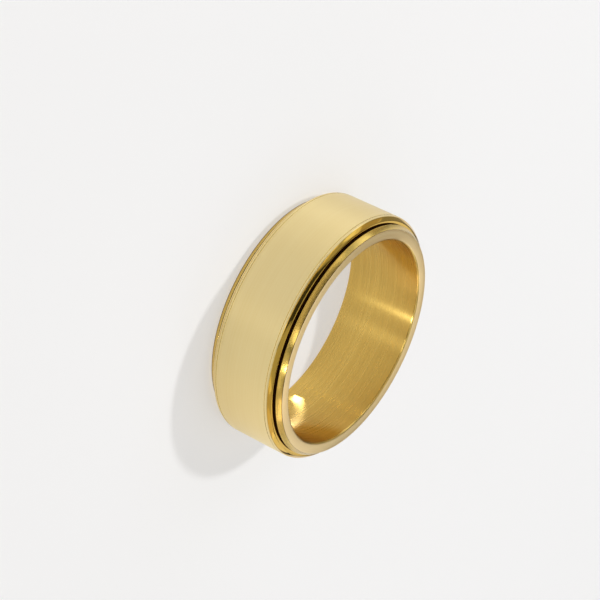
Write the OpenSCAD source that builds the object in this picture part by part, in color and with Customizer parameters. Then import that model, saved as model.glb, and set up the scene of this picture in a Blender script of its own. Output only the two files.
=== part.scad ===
// A spinner ring, lying on its side: its axis is +Z and its lower side face is at z = 0.
// Millimetres. The inner band goes on the finger, and the spinner turns in its channel.

/* [Finger bore] */
// Diameter of the bore that takes the finger, a US size 10 1/2
bore_d = 20.2; // [14:0.1:24]
// Radius of the rounding along both edges of the bore
bore_edge_r = 0.25; // [0.05:0.01:0.4]

/* [Inner band] */
// Width of the ring, from side face to side face
ring_w = 8; // [6:0.1:14]
// Wall between the bore and the floor of the channel
floor_t = 0.85; // [0.6:0.05:2]
// Height of the lips above the floor of the channel
lip_h = 0.53; // [0.35:0.01:0.9]
// Bevel of each lip, measured along the axis
bevel_w = 0.42; // [0.1:0.01:1]
// Bevel of each lip, measured outwards
bevel_h = 0.32; // [0.1:0.01:0.5]
// Narrow land on top of each lip, between its bevel and the channel
lip_land = 0.08; // [0.04:0.01:0.6]

/* [Spinner band] */
// Wall of the spinner, from its bore to its face
spinner_t = 1.13; // [0.7:0.01:2]
// Bevel along both outer edges of the spinner
spinner_bevel = 0.3; // [0.05:0.01:0.5]
// Width of the shallow shoulder along each side of the spinner's face
shoulder_w = 0.3; // [0.1:0.05:1]
// How far each shoulder falls from the face to the bevel
shoulder_drop = 0.06; // [0.02:0.01:0.15]
// Small bevel along both edges of the spinner's bore
spinner_deburr = 0.1; // [0.02:0.01:0.3]

/* [Running fit] */
// Clearance between the floor of the channel and the spinner's bore
running_gap = 0.05; // [0.02:0.01:0.1]
// Clearance between each lip and the side of the spinner
side_gap = 0.2; // [0.05:0.01:0.4]

/* [Hidden] */
turn_fn = 180;
arc_fn = 64;
spare = 0.5;
gold = "#D8BC74";

// The inner band's radii, from the bore outwards
bore_r = bore_d / 2;
floor_r = bore_r + floor_t;
lip_r = floor_r + lip_h;
side_face_r = lip_r - bevel_h;

// The channel's two walls
lip_w = bevel_w + lip_land;
channel_lo = lip_w;
channel_hi = ring_w - lip_w;

// The spinner, inside the channel with its clearances
spinner_bore_r = floor_r + running_gap;
spinner_r = spinner_bore_r + spinner_t;
shoulder_r = spinner_r - shoulder_drop;
spinner_lo = channel_lo + side_gap;
spinner_hi = channel_hi - side_gap;
face_lo = spinner_lo + spinner_bevel + shoulder_w;
face_hi = spinner_hi - spinner_bevel - shoulder_w;

// What a corner at the origin loses to a rounding of radius r, its material being in +x +y
module corner_waste(r) {
    difference() {
        translate([-spare, -spare])
            square(r + spare);
        translate([r, r])
            circle(r = r, $fn = arc_fn);
    }
}

// Section of the inner band: x is the distance from the axis, and y the height
module inner_band_section() {
    difference() {
        polygon([
            [bore_r, 0],
            [side_face_r, 0],
            [lip_r, bevel_w],
            [lip_r, channel_lo],
            [floor_r, channel_lo],
            [floor_r, channel_hi],
            [lip_r, channel_hi],
            [lip_r, ring_w - bevel_w],
            [side_face_r, ring_w],
            [bore_r, ring_w]
        ]);
        translate([bore_r, 0])
            corner_waste(bore_edge_r);
        translate([bore_r, ring_w])
            mirror([0, 1])
                corner_waste(bore_edge_r);
    }
}

// Section of the spinner, in the same plane
module spinner_section() {
    polygon([
        [spinner_bore_r + spinner_deburr, spinner_lo],
        [shoulder_r - spinner_bevel, spinner_lo],
        [shoulder_r, spinner_lo + spinner_bevel],
        [spinner_r, face_lo],
        [spinner_r, face_hi],
        [shoulder_r, spinner_hi - spinner_bevel],
        [shoulder_r - spinner_bevel, spinner_hi],
        [spinner_bore_r + spinner_deburr, spinner_hi],
        [spinner_bore_r, spinner_hi - spinner_deburr],
        [spinner_bore_r, spinner_lo + spinner_deburr]
    ]);
}

module inner_band() {
    color(gold)
        rotate_extrude($fn = turn_fn)
            inner_band_section();
}

module spinner_band() {
    color(gold)
        rotate_extrude($fn = turn_fn)
            spinner_section();
}

inner_band();
spinner_band();
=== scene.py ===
import bpy
import bmesh
import math
from mathutils import Matrix, Vector


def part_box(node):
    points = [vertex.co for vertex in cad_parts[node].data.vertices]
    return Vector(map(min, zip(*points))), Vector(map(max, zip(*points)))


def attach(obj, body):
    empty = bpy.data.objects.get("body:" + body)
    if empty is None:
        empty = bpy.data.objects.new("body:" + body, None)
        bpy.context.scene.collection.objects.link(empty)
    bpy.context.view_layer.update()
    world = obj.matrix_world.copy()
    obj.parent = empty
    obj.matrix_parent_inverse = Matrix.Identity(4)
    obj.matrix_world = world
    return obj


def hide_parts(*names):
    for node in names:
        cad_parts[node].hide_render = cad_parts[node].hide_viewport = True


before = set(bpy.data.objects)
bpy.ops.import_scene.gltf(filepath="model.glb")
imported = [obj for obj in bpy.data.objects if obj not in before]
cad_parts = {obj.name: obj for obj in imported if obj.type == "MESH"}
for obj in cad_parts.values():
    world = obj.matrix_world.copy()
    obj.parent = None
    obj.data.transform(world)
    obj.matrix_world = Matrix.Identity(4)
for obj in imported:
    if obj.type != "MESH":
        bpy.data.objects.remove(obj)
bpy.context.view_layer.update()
mm = 0.001
bpy.ops.object.select_all(action="DESELECT")
print("Frame loaded")


# Colours and nodes

def linearColour(hexColour):
    # sRGB hex to the linear values that Blender works in
    channels = [int(hexColour[i:i + 2], 16) / 255 for i in (1, 3, 5)]
    return [c / 12.92 if c <= 0.04045 else ((c + 0.055) / 1.055) ** 2.4 for c in channels] + [1.0]


def addNode(tree, kind, values=None, links=None, **settings):
    node = tree.nodes.new(kind)
    for key, value in settings.items():
        setattr(node, key, value)
    for socket, value in (values or {}).items():
        node.inputs[socket].default_value = value
    for socket, source in (links or {}).items():
        tree.links.new(source, node.inputs[socket])
    return node


# Materials: thin gold-coloured plating over stainless steel, in the finishes that each surface was given,
# with painted light and shade where said

plating = {
    # The real lines are finer than the picture's pixels, which cover 0.09 mm of the ring, so all of them
    # are drawn this many times as wide as they are
    "drawnWider": 3,
    "lineRelief": 0.01 * mm,
    "cloudsPerMm": 0.12,          # slow drift of the plating's tint
}


def ringCoordinates(tree, lineLength, lineWidth):
    # A pattern that runs round the ring: slow along it, quick across it, and with no seam
    place = addNode(tree, "ShaderNodeTexCoord").outputs["Object"]
    parts = addNode(tree, "ShaderNodeSeparateXYZ", links={0: place})
    flat = addNode(tree, "ShaderNodeCombineXYZ", links={0: parts.outputs[0], 1: parts.outputs[1]})
    radius = addNode(tree, "ShaderNodeVectorMath", operation="LENGTH", links={0: flat.outputs[0]})
    outAndUp = addNode(tree, "ShaderNodeMath", operation="ADD",
                       links={0: radius.outputs["Value"], 1: parts.outputs[2]})
    joined = addNode(tree, "ShaderNodeCombineXYZ",
                     links={0: parts.outputs[0], 1: parts.outputs[1], 2: outAndUp.outputs[0]})
    along, across = 1 / lineLength, 1 / (lineWidth * plating["drawnWider"])
    scale = (along, along, across)
    return addNode(tree, "ShaderNodeVectorMath", values={1: scale}, links={0: joined.outputs[0]},
                   operation="MULTIPLY").outputs[0]


def platedSteel(name, finish):
    material = bpy.data.materials.new(name)
    material.use_nodes = True
    tree = material.node_tree
    shader = tree.nodes["Principled BSDF"]
    shader.inputs["Metallic"].default_value = 1.0
    shader.inputs["Anisotropic"].default_value = finish["anisotropic"]
    shader.inputs["Anisotropic Rotation"].default_value = 0.25      # the fine lines run round the ring
    hairlines = addNode(tree, "ShaderNodeTexNoise", values={"Scale": 1.0, "Detail": 4.0, "Roughness": 0.6},
                        links={"Vector": ringCoordinates(tree, finish["lineLength"], finish["lineWidth"])})
    place = addNode(tree, "ShaderNodeTexCoord").outputs["Object"]
    clouds = addNode(tree, "ShaderNodeTexNoise", values={"Scale": plating["cloudsPerMm"] / mm, "Detail": 3.0},
                     links={"Vector": place})
    lines = addNode(tree, "ShaderNodeMapRange", links={0: hairlines.outputs["Fac"]},
                    values={1: 0.35, 2: 0.65, 3: 0.5 - finish["lines"], 4: 0.5 + finish["lines"]})
    together = addNode(tree, "ShaderNodeMath", operation="ADD",
                       links={0: lines.outputs[0], 1: clouds.outputs["Fac"]})
    share = addNode(tree, "ShaderNodeMath", operation="SUBTRACT", use_clamp=True, values={1: 0.5},
                    links={0: together.outputs[0]})
    tint = addNode(tree, "ShaderNodeMix", data_type="RGBA", links={0: share.outputs[0]},
                   values={6: linearColour(finish["pale"]), 7: linearColour(finish["deep"])})
    tree.links.new(tint.outputs[2], shader.inputs["Base Color"])
    roughness = addNode(tree, "ShaderNodeMapRange", links={0: hairlines.outputs["Fac"]},
                        values={1: 0.3, 2: 0.7, 3: finish["roughness"][0], 4: finish["roughness"][1]})
    tree.links.new(roughness.outputs[0], shader.inputs["Roughness"])
    bump = addNode(tree, "ShaderNodeBump", links={"Height": hairlines.outputs["Fac"]},
                   values={"Strength": finish["bump"], "Distance": plating["lineRelief"]})
    tree.links.new(bump.outputs[0], shader.inputs["Normal"])
    tangent = addNode(tree, "ShaderNodeTangent", direction_type="RADIAL", axis="Z")
    tree.links.new(tangent.outputs[0], shader.inputs["Tangent"])
    return material


# Brushed round the finger with a belt of 280 grit: warm and deep, with soft light bands that lie across it
brushedBore = platedSteel("gold plated steel, bore brushed round", {
    "pale": "#ECCC74", "deep": "#E0BE66", "lines": 0.25, "roughness": (0.25, 0.31), "anisotropic": 1.0,
    "bump": 0.06, "lineLength": 50 * mm, "lineWidth": 0.05 * mm})

# Faced on the lathe and matted with emery of 220 grit: an even sheen, slightly grainy; its paler base is
# painted light
satinSide = platedSteel("gold plated steel, satin turned", {
    "pale": "#FFE4AB", "deep": "#FCDC9C", "lines": 0.4, "roughness": (0.34, 0.38), "anisotropic": 0.9,
    "bump": 0.1, "lineLength": 20 * mm, "lineWidth": 0.065 * mm})

# Turned with a feed of 0.055 mm and buffed: narrow glints that run along the bevel
polishedLip = platedSteel("gold plated steel, polished", {
    "pale": "#E4C46C", "deep": "#D8B65A", "lines": 0.4, "roughness": (0.22, 0.28), "anisotropic": 0.9,
    "bump": 0.15, "lineLength": 50 * mm, "lineWidth": 0.055 * mm})

# Buffed longer than the lips: nearly a mirror, bright gold beside dark brown; its deep base is painted shade
polishedEdge = platedSteel("gold plated steel, spinner edge polished", {
    "pale": "#DEB656", "deep": "#D4AC48", "lines": 0.4, "roughness": (0.08, 0.12), "anisotropic": 0.6,
    "bump": 0.2, "lineLength": 50 * mm, "lineWidth": 0.055 * mm})

# Painted shade: dull dark brown in the channel, the hidden sides and the steps, so gaps and steps read dark
channelShadePaint = platedSteel("gold plated steel, painted channel shade", {
    "pale": "#6A4A20", "deep": "#4A3212", "lines": 0.4, "roughness": (0.4, 0.5), "anisotropic": 0.5,
    "bump": 0.2, "lineLength": 10 * mm, "lineWidth": 0.04 * mm})

# Brushed with a worn belt of 240 grit: a broad quiet sheen, pale gold, with hardly any lines
spinnerFace = platedSteel("gold plated steel, spinner face", {
    "pale": "#FEEAB0", "deep": "#F8E09E", "lines": 0.15, "roughness": (0.38, 0.42), "anisotropic": 0.85,
    "bump": 0.06, "lineLength": 50 * mm, "lineWidth": 0.055 * mm})
print("Materials made")


# Turned pieces

def turnedRing(name, outline, around):
    # A circle is drawn out corner by corner round the section, until it meets itself
    bpy.ops.object.select_all(action="DESELECT")
    firstRadius, firstHeight = outline[0]
    bpy.ops.mesh.primitive_circle_add(vertices=around, radius=firstRadius, location=(0, 0, firstHeight))
    piece = bpy.context.object
    piece.name = piece.data.name = name
    bpy.ops.object.transform_apply(location=True, rotation=True, scale=True)
    bpy.ops.object.mode_set(mode="EDIT")
    bpy.ops.mesh.select_all(action="SELECT")
    for (radius, height), (nextRadius, nextHeight) in zip(outline, outline[1:] + outline[:1]):
        bpy.ops.mesh.extrude_edges_move(TRANSFORM_OT_translate={"value": (0, 0, nextHeight - height)})
        share = nextRadius / radius
        bpy.ops.transform.resize(value=(share, share, 1), center_override=(0, 0, 0))
    bpy.ops.mesh.select_all(action="SELECT")
    bpy.ops.mesh.remove_doubles(threshold=0.0005 * mm)
    bpy.ops.mesh.normals_make_consistent(inside=False)
    bpy.ops.object.mode_set(mode="OBJECT")
    return piece


def nearCircle(point, radius, height, reach=0.002 * mm):
    return abs(math.hypot(point.x, point.y) - radius) < reach and abs(point.z - height) < reach


def roundCorners(piece, corners, radius, segments):
    # Bevels the circles of edges that run through these corners of the section
    bpy.ops.object.mode_set(mode="EDIT")
    bpy.ops.mesh.select_mode(type="EDGE")
    bpy.ops.mesh.select_all(action="DESELECT")
    shape = bmesh.from_edit_mesh(piece.data)
    for edge in shape.edges:
        edge.select = any(all(nearCircle(v.co, *corner) for v in edge.verts) for corner in corners)
    bmesh.update_edit_mesh(piece.data)
    bpy.ops.mesh.bevel(offset_type="OFFSET", offset=radius, segments=segments, profile=0.5, affect="EDGES",
                       clamp_overlap=False, loop_slide=False)
    bpy.ops.object.mode_set(mode="OBJECT")


def paint(piece, zones):
    # zones: material, then a test of the distance from the axis and the height of a face's middle
    for material, _ in zones:
        piece.data.materials.append(material)
    for face in piece.data.polygons:
        corners = [piece.data.vertices[i].co for i in face.vertices]
        radius = sum(math.hypot(c.x, c.y) for c in corners) / len(corners)
        height = sum(c.z for c in corners) / len(corners)
        face.material_index = next(i for i, (_, test) in enumerate(zones) if test(radius, height))


def finishPiece(piece):
    bpy.ops.object.select_all(action="DESELECT")
    piece.select_set(True)
    bpy.context.view_layer.objects.active = piece
    bpy.ops.object.shade_smooth()
    weighted = piece.modifiers.new("evenShading", "WEIGHTED_NORMAL")
    weighted.mode = "FACE_AREA"
    weighted.weight = 100
    bpy.ops.object.modifier_apply(modifier=weighted.name)


# Inner band

band = {
    "around": 288,                # faces round the ring
    "boreRadius": 10.1 * mm,
    "boreRounding": 0.25 * mm,
    "boreSegments": 6,
    "channelFloor": 10.95 * mm,
    "lipBevelHeight": 0.32 * mm,  # outwards
    "lipBevelWidth": 0.42 * mm,   # along the axis
    "lipLand": 0.08 * mm,
    "fineRounding": 0.02 * mm,    # what polishing takes off every sharp edge
    "fineSegments": 3,
    "stepHeight": 0.06 * mm,      # fine turned step between each side face and its bevel
}
bandLow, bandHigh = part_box("inner_band")
bandBottom, bandTop = bandLow.z, bandHigh.z
lipRadius = bandHigh.x
sideFaceRadius = lipRadius - band["lipBevelHeight"]
lipWidth = band["lipBevelWidth"] + band["lipLand"]
halfSection = [
    (band["boreRadius"], 0), (sideFaceRadius, 0), (sideFaceRadius, band["stepHeight"]),
    (lipRadius, band["lipBevelWidth"]), (lipRadius, lipWidth), (band["channelFloor"], lipWidth)]
bandOutline = [(r, bandBottom + h) for r, h in halfSection]
bandOutline += [(r, bandTop - h) for r, h in reversed(halfSection)]
innerBand = turnedRing("innerBand", bandOutline, band["around"])
roundCorners(innerBand, [bandOutline[0], bandOutline[-1]], band["boreRounding"], band["boreSegments"])
# The side face's outer edge and both edges of the lip's land, below and above
sharpCorners = [bandOutline[i] for i in (1, 3, 4, -2, -4, -5)]
roundCorners(innerBand, sharpCorners, band["fineRounding"], band["fineSegments"])
bandMiddle, bandHalf = (bandBottom + bandTop) / 2, (bandTop - bandBottom) / 2
justPast = 0.01 * mm
# The bore's finish runs over more than half of its rounding; then the channel and the steps get painted
# shade, then the lips
paint(innerBand, [
    (brushedBore, lambda r, h: r < band["boreRadius"] + 0.6 * band["boreRounding"]),
    (channelShadePaint, lambda r, h: abs(h - bandMiddle) < bandHalf - lipWidth + justPast),
    (channelShadePaint, lambda r, h: abs(r - sideFaceRadius) < 0.2 * band["fineRounding"]
        and abs(h - bandMiddle) < bandHalf - 0.5 * band["fineRounding"]),
    (polishedLip, lambda r, h: r > sideFaceRadius),
    (satinSide, lambda r, h: True)])
finishPiece(innerBand)
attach(innerBand, "band")
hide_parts("inner_band")
print("Inner band made")


# Spinner band

spinner = {
    "around": 288,
    "boreRadius": 11.0 * mm,
    "deburr": 0.1 * mm,
    "edgeBevel": 0.3 * mm,
    "fineRounding": 0.05 * mm,
    "fineSegments": 3,
    "edgeShadeLine": 0.08 * mm,        # width of a painted dark line, in the deep buffed finish, between the shoulder and the lower bevel
    "shoulderWidth": 0.3 * mm,
    "shoulderDrop": 0.06 * mm,
    "grooveWidth": 0.06 * mm,     # fine turned groove where the face meets the shoulder
    "grooveDepth": 0.03 * mm,
    "hiddenRadius": lipRadius - 0.03 * mm,     # the sides are hidden by the lips from here inwards
}
spinnerLow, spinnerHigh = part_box("spinner_band")
faceRadius = spinnerHigh.x
spinnerMiddle = (spinnerLow.z + spinnerHigh.z) / 2
spinnerHalf = (spinnerHigh.z - spinnerLow.z) / 2
shoulderRadius = faceRadius - spinner["shoulderDrop"]
faceEnd = spinner["edgeBevel"] + spinner["shoulderWidth"]
grooveWidth = spinner["grooveWidth"]
halfSection = [
    (spinner["boreRadius"] + spinner["deburr"], 0), (spinner["hiddenRadius"], 0),
    (shoulderRadius - spinner["edgeBevel"], 0), (shoulderRadius, spinner["edgeBevel"]),
    (faceRadius, faceEnd - grooveWidth),
    (faceRadius - spinner["grooveDepth"], faceEnd - 0.5 * grooveWidth), (faceRadius, faceEnd)]
spinnerOutline = [(r, spinnerLow.z + h) for r, h in halfSection]
spinnerOutline += [(r, spinnerHigh.z - h) for r, h in reversed(halfSection)]
spinnerOutline += [(spinner["boreRadius"], spinnerHigh.z - spinner["deburr"]),
                   (spinner["boreRadius"], spinnerLow.z + spinner["deburr"])]
spinnerBand = turnedRing("spinnerBand", spinnerOutline, spinner["around"])
# Both edges of each bevel, below and above
bevelCorners = [spinnerOutline[i] for i in (2, 3, 10, 11)]
roundCorners(spinnerBand, bevelCorners, spinner["fineRounding"], spinner["fineSegments"])
# The bore and hidden sides in painted shade, the grooves, the upper bevel, a painted dark line at the lower
# bevel, the rest
paint(spinnerBand, [
    (channelShadePaint, lambda r, h: r < spinner["hiddenRadius"]),
    (polishedLip, lambda r, h: 0 < abs(h - spinnerMiddle) - (spinnerHalf - faceEnd) < grooveWidth),
    # Painted light and shade: the upper bevel is deep gold, the lower bevel the face's pale gold with a dark
    # line at its edge
    (polishedEdge, lambda r, h: h - spinnerMiddle > spinnerHalf - spinner["edgeBevel"] - 2 * justPast),
    (polishedEdge, lambda r, h: abs(h - spinnerLow.z - spinner["edgeBevel"]) < spinner["edgeShadeLine"] / 2),
    (spinnerFace, lambda r, h: True)])
finishPiece(spinnerBand)
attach(spinnerBand, "spinner")
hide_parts("spinner_band")
print("Spinner band made")


# Camera, at the photograph's angle to the ring

view = {
    "lens": 125.0,                                    # mm
    "sensor": 36.0,                                   # mm
    "distance": 192.9 * mm,
    "tilt": 62.33,                                    # degrees between the ring's axis and the line of sight
    "roll": 115.74,                                   # degrees that the frame turns about that line
    "ringCentreInFrame": (1.95 * mm, -2.39 * mm),     # right and up of the frame's middle, at the ring
}
ringCentre = Vector((0, 0, (bandBottom + bandTop) / 2))
tilted = Matrix.Rotation(math.radians(view["tilt"]), 3, "X")
rolled = Matrix.Rotation(math.radians(view["roll"]), 3, "Z")
cameraTurn = tilted @ rolled
across, up = view["ringCentreInFrame"]
cameraData = bpy.data.cameras.new("camera")
cameraData.lens = view["lens"]
cameraData.sensor_width = view["sensor"]
cameraData.clip_start = 1 * mm
camera = bpy.data.objects.new("camera", cameraData)
bpy.context.scene.collection.objects.link(camera)
camera.rotation_euler = cameraTurn.to_euler()
camera.location = ringCentre - cameraTurn @ Vector((across, up, -view["distance"]))
bpy.context.scene.camera = camera
print("Camera set")


# Floor and lights

studio = {
    "floorSize": 1.6,          # metres
    "floorGlow": 0.45,         # the floor is an opal sheet lit from below
    "roomLight": 0.04,
    "panelDistance": 0.30,     # metres from the ring's centre
}
bpy.context.scene.view_settings.view_transform = "Standard"
bpy.context.scene.view_settings.look = "None"

bpy.ops.object.select_all(action="DESELECT")
bpy.ops.mesh.primitive_plane_add(size=studio["floorSize"], location=(0, 0, bandBottom))
floor = bpy.context.object
floor.name = "floor"
opal = bpy.data.materials.new("opal acrylic sheet, lit from below")
opal.use_nodes = True
opalShader = opal.node_tree.nodes["Principled BSDF"]
opalShader.inputs["Base Color"].default_value = linearColour("#BCBCBC")
opalShader.inputs["Roughness"].default_value = 0.7
opalShader.inputs["Specular IOR Level"].default_value = 0.1
opalShader.inputs["Emission Color"].default_value = linearColour("#FFFFFF")
opalShader.inputs["Emission Strength"].default_value = studio["floorGlow"]
floor.data.materials.append(opal)

world = bpy.data.worlds.new("studio")
bpy.context.scene.world = world
world.use_nodes = True
world.node_tree.nodes["Background"].inputs["Color"].default_value = linearColour("#FFFFFF")
world.node_tree.nodes["Background"].inputs["Strength"].default_value = studio["roomLight"]


def pointing(azimuth, elevation):
    # Unit vector, from degrees
    around, above = math.radians(azimuth), math.radians(elevation)
    level = math.cos(above)
    return Vector((math.cos(around) * level, math.sin(around) * level, math.sin(above)))


def whiteLight(name, wide, high, energy):
    data = bpy.data.lights.new(name, "AREA")
    data.shape = "RECTANGLE"
    data.size, data.size_y = wide, high
    data.energy = energy
    return data


def aimedLight(data, target, towards, distance):
    # Stands off from its target and faces it
    light = bpy.data.objects.new(data.name, data)
    bpy.context.scene.collection.objects.link(light)
    light.location = target + towards * distance
    light.rotation_euler = towards.to_track_quat("Z", "Y").to_euler()
    light.visible_camera = False
    return light


def lightOnly(light, piece):
    # Keeps the light off everything but this piece
    receivers = bpy.data.collections.new(light.name + "Receivers")
    receivers.objects.link(piece)
    light.light_linking.receiver_collection = receivers


# Pale panels round and above the ring: the middle of each and how much of the view from the ring it fills,
# all in degrees, with azimuths from +X. Radiance is a panel's brightness, whatever its size, and a panel
# with a piece in "only" lights that piece alone
panels = [
    {"name": "frontRight", "azimuth": 5, "elevation": 28, "wide": 50, "high": 40, "radiance": 0.60,
     "tint": "#FFF4EC"},
    {"name": "warmRight", "azimuth": 22, "elevation": 24, "wide": 26, "high": 24, "radiance": 0.25,
     "tint": "#FFF0F0"},
    {"name": "highRight", "azimuth": -30, "elevation": 58, "wide": 40, "high": 30, "radiance": 0.50,
     "tint": "#FFFFFF"},
    {"name": "streak", "azimuth": -42, "elevation": 13, "wide": 2.5, "high": 20, "radiance": 30.00,
     "tint": "#FFFFFF", "only": innerBand},
    {"name": "boreRight", "azimuth": 0, "elevation": 10, "wide": 24, "high": 10, "radiance": 2.60,
     "tint": "#FFEEF2", "only": innerBand},
    {"name": "borePale", "azimuth": -71, "elevation": 17, "wide": 10, "high": 14, "radiance": 2.50,
     "tint": "#FFFFFF", "only": innerBand},
    {"name": "rightLow", "azimuth": 6, "elevation": 5, "wide": 50, "high": 10, "radiance": 0.40,
     "tint": "#FFF0EC"},
    {"name": "leftLow", "azimuth": 178, "elevation": 5, "wide": 26, "high": 10, "radiance": 1.00,
     "tint": "#F0F4FF"},
    {"name": "front", "azimuth": -37, "elevation": 30, "wide": 34, "high": 24, "radiance": 0.75,
     "tint": "#FFFFFF"},
    {"name": "nearPale", "azimuth": -71, "elevation": 26, "wide": 14, "high": 28, "radiance": 1.20,
     "tint": "#FFFFFF"},
    {"name": "nearSide", "azimuth": -118, "elevation": 42, "wide": 76, "high": 18, "radiance": 1.30,
     "tint": "#FFF4E8"},
    {"name": "leftRear", "azimuth": 154, "elevation": 24, "wide": 22, "high": 36, "radiance": 0.45,
     "tint": "#FFF0D8"},
    {"name": "highLeft", "azimuth": 192, "elevation": 49, "wide": 34, "high": 12, "radiance": 0.45,
     "tint": "#FFFFFF"},
    {"name": "left", "azimuth": 188, "elevation": 22, "wide": 44, "high": 40, "radiance": 0.65,
     "tint": "#F0F4FF"},
    {"name": "leftMiddle", "azimuth": 175, "elevation": 24, "wide": 12, "high": 36, "radiance": 0.75,
     "tint": "#F0F4FF"},
    {"name": "rearLeft", "azimuth": 130, "elevation": 20, "wide": 26, "high": 40, "radiance": 0.28,
     "tint": "#FFFFFF"},
    {"name": "rearHigh", "azimuth": 92, "elevation": 44, "wide": 24, "high": 40, "radiance": 0.92,
     "tint": "#FFFFFF"},
    {"name": "overRear", "azimuth": 52, "elevation": 50, "wide": 34, "high": 14, "radiance": 0.60,
     "tint": "#FFFFFF"},
    {"name": "overhead", "azimuth": 90, "elevation": 84, "wide": 34, "high": 30, "radiance": 0.80,
     "tint": "#FFFFFF"},
    {"name": "rightBack", "azimuth": 44, "elevation": 15, "wide": 24, "high": 20, "radiance": 1.00,
     "tint": "#FFFFFF"},
    {"name": "rearRight", "azimuth": 68, "elevation": 30, "wide": 18, "high": 40, "radiance": 1.00,
     "tint": "#FFFFFF"},
]
for panel in panels:
    wide, high = (2 * studio["panelDistance"] * math.tan(math.radians(panel[way] / 2))
                  for way in ("wide", "high"))
    data = whiteLight(panel["name"], wide, high, panel["radiance"] * math.pi * wide * high)
    data.color = linearColour(panel["tint"])[:3]
    towards = pointing(panel["azimuth"], panel["elevation"])
    light = aimedLight(data, ringCentre, towards, studio["panelDistance"])
    if "only" in panel:
        lightOnly(light, panel["only"])

# A small bright light inside the ring, close to its wall: it gives the bore its white highlight. Its place on
# the wall is an azimuth in degrees and a height, and it hangs back from there, turned aside and downwards
glint = {"azimuth": 42.5, "height": 1.75 * mm, "away": 0.6 * mm, "turned": 47.5, "below": 28,
         "long": 1.0 * mm, "wide": 0.6 * mm, "radiance": 7.0}
onWall = pointing(glint["azimuth"], 0) * band["boreRadius"]
onWall.z = bandBottom + glint["height"]
glintEnergy = glint["radiance"] * math.pi * glint["wide"] * glint["long"]
glintData = whiteLight("glint", glint["wide"], glint["long"], glintEnergy)
backwards = pointing(glint["azimuth"] + 180 - glint["turned"], -glint["below"])
lightOnly(aimedLight(glintData, onWall, backwards, glint["away"]), innerBand)

# The lamp that gives the ring its soft shadow on the floor, in degrees, metres and watts. The metal doesn't
# mirror it
lamp = {"azimuth": 165, "elevation": 52, "distance": 0.60, "size": 0.05, "energy": 1.5}
lampData = whiteLight("shadowLamp", lamp["size"], lamp["size"], lamp["energy"])
shadowLamp = aimedLight(lampData, ringCentre, pointing(lamp["azimuth"], lamp["elevation"]), lamp["distance"])
shadowLamp.visible_glossy = False
print("Floor and lights set")
